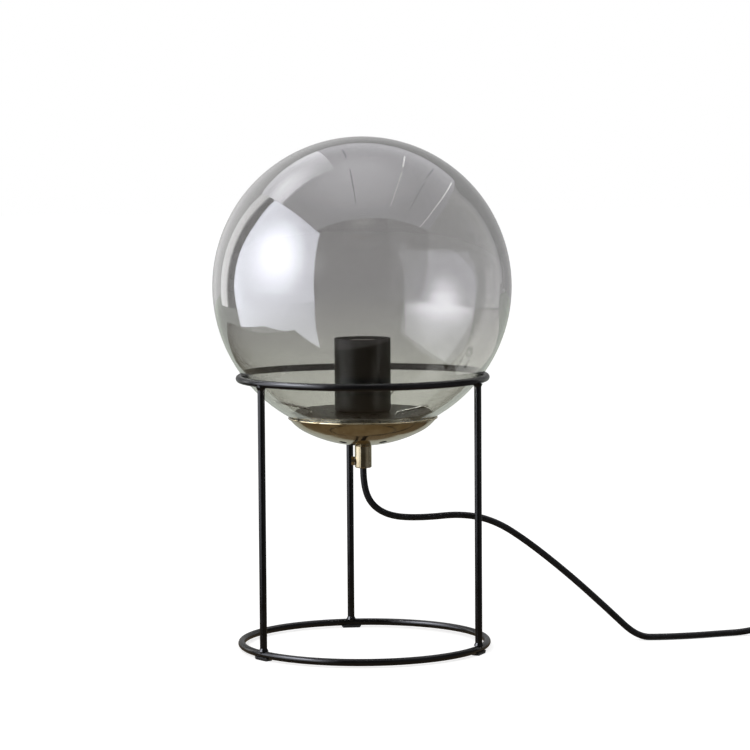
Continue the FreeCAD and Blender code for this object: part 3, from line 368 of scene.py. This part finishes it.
def threaded_shell():
    """The shell that a bulb screws into: a wavy wall spun up a pitch, over a turned-in foot."""
    low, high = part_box("screw_shell")
    pitch = 25.4 / 7 * MM                  # E27: seven threads to the inch
    middle, wave = 13.02 * MM, 0.45 * MM   # radius halfway into the thread, and its half depth
    wall, foot_hole = 0.3 * MM, 8 * MM
    steps_per_pitch, steps_per_turn = 10, 48
    shape = bmesh.new()
    start = low[2] - pitch
    count = math.ceil((high[2] - start) / pitch * steps_per_pitch)
    line = []
    for number in range(count + 1):
        climbed = number / steps_per_pitch
        line.append(shape.verts.new((middle + wave * math.cos(2 * math.pi * climbed), 0,
                                     start + pitch * climbed)))
    edges = [shape.edges.new(pair) for pair in zip(line, line[1:])]
    bmesh.ops.spin(shape, geom=line + edges, cent=(0, 0, 0), axis=(0, 0, 1),
                   dvec=(0, 0, pitch / steps_per_turn), angle=2 * math.pi, steps=steps_per_turn)
    bmesh.ops.remove_doubles(shape, verts=shape.verts, dist=0.01 * MM)
    for level, side in ((low[2], -1), (high[2], 1)):
        bmesh.ops.bisect_plane(shape, geom=shape.verts[:] + shape.edges[:] + shape.faces[:],
                               plane_co=(0, 0, level), plane_no=(0, 0, side), clear_outer=True)
    foot = [shape.verts.new((radius, 0, low[2] + wall)) for radius in (foot_hole, middle)]
    bmesh.ops.spin(shape, geom=foot + [shape.edges.new(foot)], cent=(0, 0, 0), axis=(0, 0, 1),
                   angle=2 * math.pi, steps=steps_per_turn, use_merge=True)
    bmesh.ops.recalc_face_normals(shape, faces=shape.faces)
    bmesh.ops.solidify(shape, geom=shape.faces[:], thickness=wall)
    for face in shape.faces:
        face.smooth = True
    mesh = bpy.data.meshes.new("threaded_shell")
    shape.to_mesh(mesh)
    shape.free()
    shell = piece("threaded_shell", mesh, FINISHES["bright_brass"])
    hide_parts("screw_shell")
    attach(shell, "fitting")


threaded_shell()

# ---------------------------------------------------------------- studio


# The mirrored room, as found from where the photograph's reflections lie on the ball.
WINDOW_LEFT, WINDOW_RIGHT = -1.5, 1.5
LEFT_WALL, RIGHT_WALL = -1.52, 1.62    # just behind the windows
CEILING = 1.8
CEILING_RIGHT = 1.65
FRONT_EDGE = -1.08                     # y at which the ceiling meets the wall on the camera's side


def standing(x, corners):
    """Corners of an upright panel at this x, from (y, z) pairs."""
    return [(x, y, z) for y, z in corners]


def lying(z, corners):
    """Corners of a level panel at this height, from (x, y) pairs."""
    return [(x, y, z) for x, y in corners]


def flat_piece(name, corners, finish):
    """A flat stage piece through these corners."""
    shape = bmesh.new()
    shape.faces.new([shape.verts.new(corner) for corner in corners])
    mesh = bpy.data.meshes.new(name)
    shape.to_mesh(mesh)
    shape.free()
    made = piece(name, mesh, finish)
    return made


def mirrored_panel(name, corners, finish):
    """A part of the room that lights nothing and shows only in what mirrors it."""
    panel = flat_piece(name, corners, finish)
    panel.visible_camera = False
    panel.visible_diffuse = False
    panel.visible_volume_scatter = False
    panel.visible_shadow = False


def glow(name, colour, in_metal, in_glass, metal_core=None, glass_core=None):
    """Light of a mirrored panel, which is clear to a look straight through the glass.

    The glass, a sharp mirror, sees the panel at one level and the satin metal sees it at another,
    because the photograph shows them so unlike. A core (strength, spot, reach) is brighter light
    round a spot.
    """
    made = bare(name)
    made.cycles.emission_sampling = "NONE"
    tree = made.node_tree
    path = add(tree, "ShaderNodeLightPath", {}, {})
    place = add(tree, "ShaderNodeTexCoord", {}, {})
    levels = []
    for level, core in ((in_metal, metal_core), (in_glass, glass_core)):
        if core:
            strength, spot, reach = core
            centred = add(tree, "ShaderNodeMapping", {"vector_type": "POINT"}, {
                "Vector": (place, "Object"), "Location": [-part / reach for part in spot],
                "Scale": (1 / reach, 1 / reach, 1 / reach)})
            ball = add(tree, "ShaderNodeTexGradient", {"gradient_type": "SPHERICAL"}, {
                "Vector": (centred, "Vector")})
            rise = add(tree, "ShaderNodeMapRange", {"interpolation_type": "SMOOTHERSTEP"}, {
                "Value": (ball, "Fac"), "To Min": level, "To Max": strength})
            level = (rise, "Result")
        levels.append(level)
    strength = add(tree, "ShaderNodeMix", {}, {
        MIX_FACTOR: (path, "Is Singular Ray"), MIX_FLOAT_A: levels[0], MIX_FLOAT_B: levels[1]})
    light = add(tree, "ShaderNodeEmission", {}, {
        "Color": linear(colour), "Strength": (strength, MIXED_FLOAT)})
    clear = add(tree, "ShaderNodeBsdfTransparent", {}, {})
    mirrored = add(tree, "ShaderNodeMath", {"operation": "MINIMUM"}, {
        0: (path, "Glossy Depth"), 1: 1.0})
    shown = add(tree, "ShaderNodeMixShader", {}, {0: (mirrored, 0), 1: (clear, 0), 2: (light, 0)})
    add(tree, "ShaderNodeOutputMaterial", {}, {"Surface": (shown, 0)})
    return made


def white_to_the_eye(tree, in_metal, in_glass):
    """1 for the camera and a look straight through the glass, and less in metal or glass."""
    path = add(tree, "ShaderNodeLightPath", {}, {})
    bounced = add(tree, "ShaderNodeMath", {"operation": "MINIMUM"}, {
        0: (path, "Glossy Depth"), 1: 1.0})
    bounced_or_glossy = add(tree, "ShaderNodeMath", {"operation": "MAXIMUM"}, {
        0: (bounced, 0), 1: (path, "Is Glossy Ray")})
    level = add(tree, "ShaderNodeMix", {}, {
        MIX_FACTOR: (path, "Is Singular Ray"), MIX_FLOAT_A: in_metal, MIX_FLOAT_B: in_glass})
    mirrored = add(tree, "ShaderNodeMath", {"operation": "MULTIPLY"}, {
        0: (bounced_or_glossy, 0), 1: (level, MIXED_FLOAT)})
    through = add(tree, "ShaderNodeMath", {"operation": "SUBTRACT", "use_clamp": True}, {
        0: (path, "Is Transmission Ray"), 1: (bounced, 0)})
    seen = add(tree, "ShaderNodeMath", {"operation": "MAXIMUM"}, {
        0: (path, "Is Camera Ray"), 1: (through, 0)})
    return add(tree, "ShaderNodeMath", {"operation": "MAXIMUM"}, {0: (seen, 0), 1: (mirrored, 0)})


def pale_floor():
    """White paper: shows white to the camera, keeps the lamp's soft shadow."""
    finish = bare("white_paper")
    tree = finish.node_tree
    shown = white_to_the_eye(tree, 0.0, 0.1)
    paper = add(tree, "ShaderNodeBsdfPrincipled", {}, {
        "Base Color": linear("#D8D8D8"), "Roughness": 0.9, "Emission Color": linear("#D2D2D2"),
        "Emission Strength": (shown, 0)})
    add(tree, "ShaderNodeOutputMaterial", {}, {"Surface": (paper, "BSDF")})
    flat_piece("floor", lying(0, [(-14, -14), (14, -14), (14, 14), (-14, 14)]), finish)


def studio_world():
    """Even soft light, with white behind everything that the camera sees or sees through."""
    world = bpy.data.worlds.new("studio")
    bpy.context.scene.world = world
    world.use_nodes = True
    tree = world.node_tree
    tree.nodes.clear()
    shown = white_to_the_eye(tree, 0.4, 0.8)
    soft = add(tree, "ShaderNodeBackground", {}, {"Color": linear("#FFFFFF"), "Strength": 0.55})
    white = add(tree, "ShaderNodeBackground", {}, {"Color": linear("#FFFFFF"), "Strength": 1.0})
    mix = add(tree, "ShaderNodeMixShader", {}, {0: (shown, 0), 1: (soft, 0), 2: (white, 0)})
    add(tree, "ShaderNodeOutputWorld", {}, {"Surface": (mix, 0)})


def soft_lamp(name, spot, aim, size, power):
    """A large softbox that no mirror shows."""
    light = bpy.data.lights.new(name, "AREA")
    light.shape = "RECTANGLE"
    light.size, light.size_y = size
    light.energy = power
    holder = bpy.data.objects.new(name, light)
    holder.location = spot
    holder.rotation_mode = "QUATERNION"
    holder.rotation_quaternion = (Vector(aim) - Vector(spot)).to_track_quat("-Z", "Y")
    holder.visible_glossy = False
    holder.visible_camera = False
    holder.visible_transmission = False
    bpy.context.scene.collection.objects.link(holder)


def windows():
    """Windows on both sides, and the light that they throw on the floor."""
    mirrored_panel("window_left", standing(WINDOW_LEFT, [
        (0.85, 1.87), (-1.49, 2.06), (-1.63, 0.77), (-1.67, 0), (0.74, 0), (0.79, 0.30),
        (0.79, 0.65), (0.73, 1.20)]),
        glow("window_light", "#F1F4FF", 2.2, 6.5,
             metal_core=(12, (WINDOW_LEFT, -0.3, 1.45), 1.15),
             glass_core=(15, (WINDOW_LEFT, -0.4, 0.93), 1.15)))
    mirrored_panel("light_on_floor_left", lying(1 * MM, [
        (WINDOW_LEFT, 0.74), (WINDOW_LEFT, -1.67), (-0.238, -0.28), (-0.516, -0.306),
        (-0.794, -0.053), (-0.854, 0.387)]),
        glow("floor_daylight", "#F1F4FF", 0.9, 4.5,
             metal_core=(1.3, (WINDOW_LEFT, -0.2, 0), 1.4),
             glass_core=(7, (WINDOW_LEFT, -0.2, 0), 1.4)))
    mirrored_panel("window_right", standing(WINDOW_RIGHT, [
        (-1.64, 1.42), (-0.5, 0.93), (-0.1, 0.45), (-0.08, 0), (-3.2, 0), (-1.79, 1.14)]),
        glow("soft_window_light", "#FBFAFF", 0.12, 1.7,
             metal_core=(0.2, (WINDOW_RIGHT, -0.98, -0.03), 0.9),
             glass_core=(7.2, (WINDOW_RIGHT, -1.04, -0.03), 0.85)))
    mirrored_panel("light_on_floor_right", lying(1 * MM, [
        (WINDOW_RIGHT, -0.08), (0.499, -0.033), (0.3225, -0.06), (0.242, -0.492),
        (0.905, -1.954), (WINDOW_RIGHT, -3.1)]),
        glow("floor_daylight_soft", "#FBFAFF", 0.12, 1.3,
             metal_core=(0.28, (WINDOW_RIGHT, -0.98, 0), 0.9),
             glass_core=(7, (1.2, -0.85, 0), 1.1)))


def side_walls():
    """Walls behind the windows. The left one is shaded beside its window and lit farther back."""
    mirrored_panel("left_wall", standing(LEFT_WALL, [
        (1.2, -0.5), (-3.2, -0.5), (-3.2, 1.9), (1.2, 1.9)]),
        glow("shaded_wall", "#F0F0F0", 0.03, 0.04))
    mirrored_panel("left_wall_far", standing(LEFT_WALL, [
        (1.28, 0), (1.95, 0), (1.95, 1.9), (1.28, 1.9)]),
        glow("lit_wall", "#FFFFFF", 1.3, 2.6))
    mirrored_panel("right_wall", standing(RIGHT_WALL, [
        (1.0, -0.5), (-3.2, -0.5), (-3.2, 1.82), (1.0, 1.82)]),
        glow("right_wall_light", "#FAFAF8", 0.08, 1.15))


def ceiling():
    """A ceiling that the left window lights, with the joints between its boards just under it."""
    mirrored_panel("ceiling", lying(CEILING, [
        (-1.29, FRONT_EDGE), (CEILING_RIGHT, FRONT_EDGE), (CEILING_RIGHT, 2.0), (-1.45, 2.0),
        (-1.44, 0.83)]),
        glow("ceiling_light", "#FAF9FF", 0.3, 1.4, metal_core=(1.0, (0, 1.9, CEILING), 4.2),
             glass_core=(2.8, (-0.08, -0.05, CEILING), 1.25)))
    mirrored_panel("ceiling_lit", lying(CEILING - 3 * MM, [
        (-1.4, 0.42), (-0.3, 0.42), (-0.3, 2.0), (-1.45, 2.0), (-1.44, 0.83)]),
        glow("ceiling_daylight", "#FAFAFF", 0.66, 2.6,
             metal_core=(1.7, (-1.1, 1.1, CEILING), 0.85),
             glass_core=(5.4, (-1.15, 0.7, CEILING), 0.9)))
    shade = glow("joint_shade", "#F4F4FF", 0.2, 0.9)
    light = glow("joint_light", "#FFFFFF", 1.0, 3.6)
    joints = [
        ((-0.06, 1.35), (-0.09, 0.75), 0.02, shade), ((-0.11, 0.3), (-0.17, -0.62), 0.015, shade),
        ((0.66, 1.2), (0.60, 0.55), 0.018, light), ((0.585, 0.35), (0.46, -0.68), 0.012, light),
        ((1.13, 1.35), (1.0, 0.6), 0.022, shade), ((0.97, 0.35), (0.84, -0.76), 0.016, shade),
        ((1.55, 1.45), (1.3, -1.25), 0.028, light)]
    for number, (start, end, width, finish) in enumerate(joints):
        mirrored_panel("ceiling_joint_" + str(number), lying(CEILING - 5 * MM, [
            (start[0] - width / 2, start[1]), (end[0] - width / 2, end[1]),
            (end[0] + width / 2, end[1]), (start[0] + width / 2, start[1])]), finish)


def end_walls():
    """The wall on the camera's side, farther out at its foot, and the one behind the lamp."""
    middle, foot_edge, foot = 0.43, -2.2, -0.5
    mirrored_panel("end_wall", [
        (LEFT_WALL, foot_edge, foot), (middle, foot_edge, foot), (middle, FRONT_EDGE, CEILING),
        (-1.29, FRONT_EDGE, CEILING), (-1.157, -1.149, 1.657), (-1.461, -1.588, 0.758)],
        glow("dark_wall", "#F4F0EC", 0.05, 0.4, glass_core=(1.2, (-0.12, -1.1, CEILING), 0.5)))
    mirrored_panel("end_wall_right", [
        (middle, foot_edge, foot), (CEILING_RIGHT, foot_edge, foot),
        (CEILING_RIGHT, FRONT_EDGE, CEILING), (middle, FRONT_EDGE, CEILING)],
        glow("pale_wall", "#F8F6F4", 0.12, 0.7))
    mirrored_panel("back_wall", [(-4, 3.2, 0), (4, 3.2, 0), (4, 3.2, 3.5), (-4, 3.2, 3.5)],
                   glow("back_wall_light", "#FFFFFF", 0.3, 0.5,
                        glass_core=(1.25, (-3, 3.2, 1), 4.6)))


def ground():
    """Table top round the stand, and the floor round that, each just over or under the next."""
    mirrored_panel("floor_beyond", lying(0.5 * MM, [(-3, 0.15), (3, 0.15), (3, 3.2), (-3, 3.2)]),
                   glow("far_floor", "#E2E7DF", 0.5, 0.72, glass_core=(1.1, (-2, 3.2, 0), 3)))
    mirrored_panel("table_top", lying(1.5 * MM, [
        (-0.9, 0.6), (-0.55, -0.33), (-0.24, -0.30), (0.24, -0.49), (0.33, -0.06),
        (0.52, -0.03), (0.9, 0.6), (0.28, 0.3), (0.1, 0.19), (-0.1, 0.19), (-0.28, 0.3),
        (-0.35, 0.85), (-0.9, 0.95)]),
        glow("table_wood", "#CDB798", 0.08, 0.14, metal_core=(0.25, (-0.03, 0.0, 0), 0.6)))
    mirrored_panel("floor_beyond_right", lying(2 * MM, [
        (WINDOW_RIGHT, -0.08), (WINDOW_RIGHT, 0.9), (0.6, 0.8), (0.3, 0.1), (0.36, -0.05),
        (0.499, -0.033)]),
        glow("soft_floor", "#F6F4F0", 0.1, 0.95))
    mirrored_panel("dark_floor", lying(1 * MM, [
        (WINDOW_LEFT, -1.67), (-0.238, -0.28), (-0.24, -0.30), (0.24, -0.49), (0.905, -1.954),
        (WINDOW_RIGHT, -3.1), (WINDOW_LEFT, -3.1)]),
        glow("shaded_floor", "#F0E8E0", 0.05, 0.45))


windows()
side_walls()
ceiling()
end_walls()
ground()
pale_floor()
studio_world()
soft_lamp("key", (-1.4, -1.6, 2.2), (0, 0, 0.2), (1.6, 1.6), 30)
soft_lamp("fill", (1.8, -1.2, 1.6), (0, 0, 0.2), (1.6, 1.6), 12)
